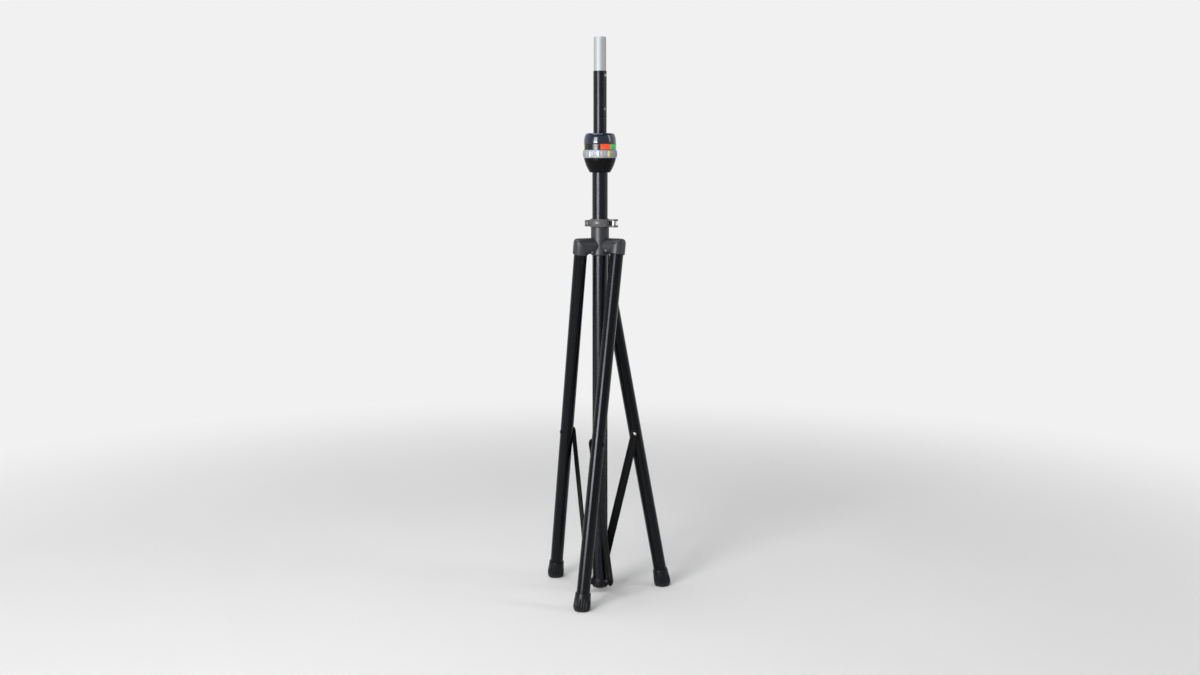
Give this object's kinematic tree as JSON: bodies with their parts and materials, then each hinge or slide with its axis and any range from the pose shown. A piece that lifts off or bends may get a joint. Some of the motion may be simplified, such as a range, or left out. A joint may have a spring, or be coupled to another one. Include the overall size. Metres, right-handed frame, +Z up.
{
  "type": "speaker stand",
  "caption": "Telescoping speaker stand on a folding tripod, with a twist height lock, a sliding hub with a quick clamp, braced legs on rubber feet and a snap-button spigot.",
  "frame": {"origin": "on the floor, under the pole's axis, with the legs as pictured", "axes": "+Z up the pole towards the speaker spigot; +Y along the hub's rear arm"},
  "size_m": [0.3758, 0.3666, 1.611],
  "materials": {
    "black_tube": "satin",
    "bare_tube": "satin",
    "cast_grey": "satin",
    "cast_dark": "satin",
    "steel": "satin",
    "black_bar": "satin",
    "rubber": "matte",
    "black_plastic": "satin",
    "cap_plastic": "gloss",
    "ring_plastic": "satin",
    "marker_yellow": "satin",
    "label": "satin",
    "nylon": "satin"
  },
  "bodies": {
    "pole": {"pole_tube": "black_tube", "bottom_plug": "black_plastic", "lower_pivots": "steel", "lock_cup": "black_plastic", "lock_cap": "cap_plastic", "label_band": "label", "lock_collet": "nylon", "wiper_ring": "rubber"},
    "mast": {"mast_tube": "black_tube", "mast_guide": "nylon"},
    "adapter": {"adapter_tube": "bare_tube", "button_spring": "steel"},
    "button_right": {"snap_button_right": "steel"},
    "button_left": {"snap_button_left": "steel"},
    "twist_ring": {"twist_ring": "ring_plastic", "ring_marker": "marker_yellow"},
    "wedge": {"wedge_sleeve": "nylon"},
    "hub": {"hub": "cast_grey", "clamp_band": "cast_dark", "clamp_bolt": "steel", "clamp_pin": "steel", "clamp_nut": "steel"},
    "clamp_lever": {"clamp_lever": "cast_dark"},
    "leg_a": {"leg_tube_a": "black_tube", "elbow_a": "cast_grey", "elbow_pin_a": "steel", "foot_a": "rubber", "brace_rivet_a": "steel", "brace_washer_a": "black_plastic"},
    "brace_a": {"brace_a": "black_bar"},
    "leg_b": {"leg_tube_b": "black_tube", "elbow_b": "cast_grey", "elbow_pin_b": "steel", "foot_b": "rubber", "brace_rivet_b": "steel", "brace_washer_b": "black_plastic"},
    "brace_b": {"brace_b": "black_bar"},
    "leg_c": {"leg_tube_c": "black_tube", "elbow_c": "cast_grey", "elbow_pin_c": "steel", "foot_c": "rubber", "brace_rivet_c": "steel", "brace_washer_c": "black_plastic"},
    "brace_c": {"brace_c": "black_bar"}
  },
  "joints": [
    {"name": "plug_pivot_a", "type": "hinge", "parent": "pole", "child": "brace_a", "pos_m": [0, 0, 0.031], "axis": [-0.866, -0.5, 0], "range_deg": [-5.29, 23.65]},
    {"name": "brace_rivet_a", "type": "hinge", "parent": "brace_a", "child": "leg_a", "pos_m": [-0.10247, 0.05749, 0.4661], "axis": [0.866, 0.5, 0], "range_deg": [-9.29, 41.65]},
    {"name": "leg_spread", "type": "hinge", "parent": "leg_a", "child": "hub", "pos_m": [0, 0, 1.022], "axis": [-0.866, -0.5, 0], "range_deg": [-4, 18]},
    {"name": "leg_hinge_b", "type": "hinge", "parent": "hub", "child": "leg_b", "pos_m": [0, 0, 1.022], "axis": [-0.866, 0.5, 0], "range_deg": [-4.05, 18.05]},
    {"name": "brace_rivet_b", "type": "hinge", "parent": "leg_b", "child": "brace_b", "pos_m": [0.00145, -0.11749, 0.4661], "axis": [0.866, -0.5, 0], "range_deg": [-9.29, 41.65]},
    {"name": "leg_hinge_c", "type": "hinge", "parent": "hub", "child": "leg_c", "pos_m": [0, 0, 1.022], "axis": [0, -1, 0], "range_deg": [-4.05, 18.05]},
    {"name": "brace_rivet_c", "type": "hinge", "parent": "leg_c", "child": "brace_c", "pos_m": [0.10102, 0.06, 0.4661], "axis": [0, 1, 0], "range_deg": [-9.29, 41.65]},
    {"name": "mast_height", "type": "slide", "parent": "pole", "child": "mast", "axis": [0, 0, 1], "range_m": [-0.06, 0.6]},
    {"name": "adapter_stow", "type": "slide", "parent": "mast", "child": "adapter", "axis": [0, 0, 1], "range_m": [-0.094, 0], "deforming": ["snap_button_right", "snap_button_left"]},
    {"name": "button_press_right", "type": "slide", "parent": "adapter", "child": "button_right", "axis": [-0.8192, 0.5736, 0], "range_m": [0, 0.0048], "stiffness_N_per_m": 1500, "deforming": ["button_spring"]},
    {"name": "button_press_left", "type": "slide", "parent": "adapter", "child": "button_left", "axis": [0.8192, -0.5736, 0], "range_m": [0, 0.0048], "stiffness_N_per_m": 1500, "deforming": ["button_spring"]},
    {"name": "height_lock_turn", "type": "hinge", "parent": "pole", "child": "twist_ring", "pos_m": [0, 0, 1.2835], "axis": [0, 0, 1], "range_deg": [0, 38]},
    {"name": "wedge_drop", "type": "slide", "parent": "pole", "child": "wedge", "axis": [0, 0, -1], "range_m": [0, 0.0015]},
    {"name": "clamp_throw", "type": "hinge", "parent": "hub", "child": "clamp_lever", "pos_m": [0.0405, -0.0213, 1.0875], "axis": [0, 0, 1], "range_deg": [0, 120]}
  ],
  "couplings": [
    {"joint": "plug_pivot_a", "follows": "leg_spread", "ratio": 1.311},
    {"joint": "brace_rivet_a", "follows": "leg_spread", "ratio": 2.311},
    {"joint": "leg_hinge_b", "follows": "leg_spread", "ratio": 1},
    {"joint": "leg_hinge_c", "follows": "leg_spread", "ratio": 1},
    {"joint": "brace_rivet_b", "follows": "leg_spread", "ratio": 2.311},
    {"joint": "brace_rivet_c", "follows": "leg_spread", "ratio": 2.311},
    {"joint": "wedge_drop", "follows": "height_lock_turn", "m_per_rad": 0.002259}
  ]
}
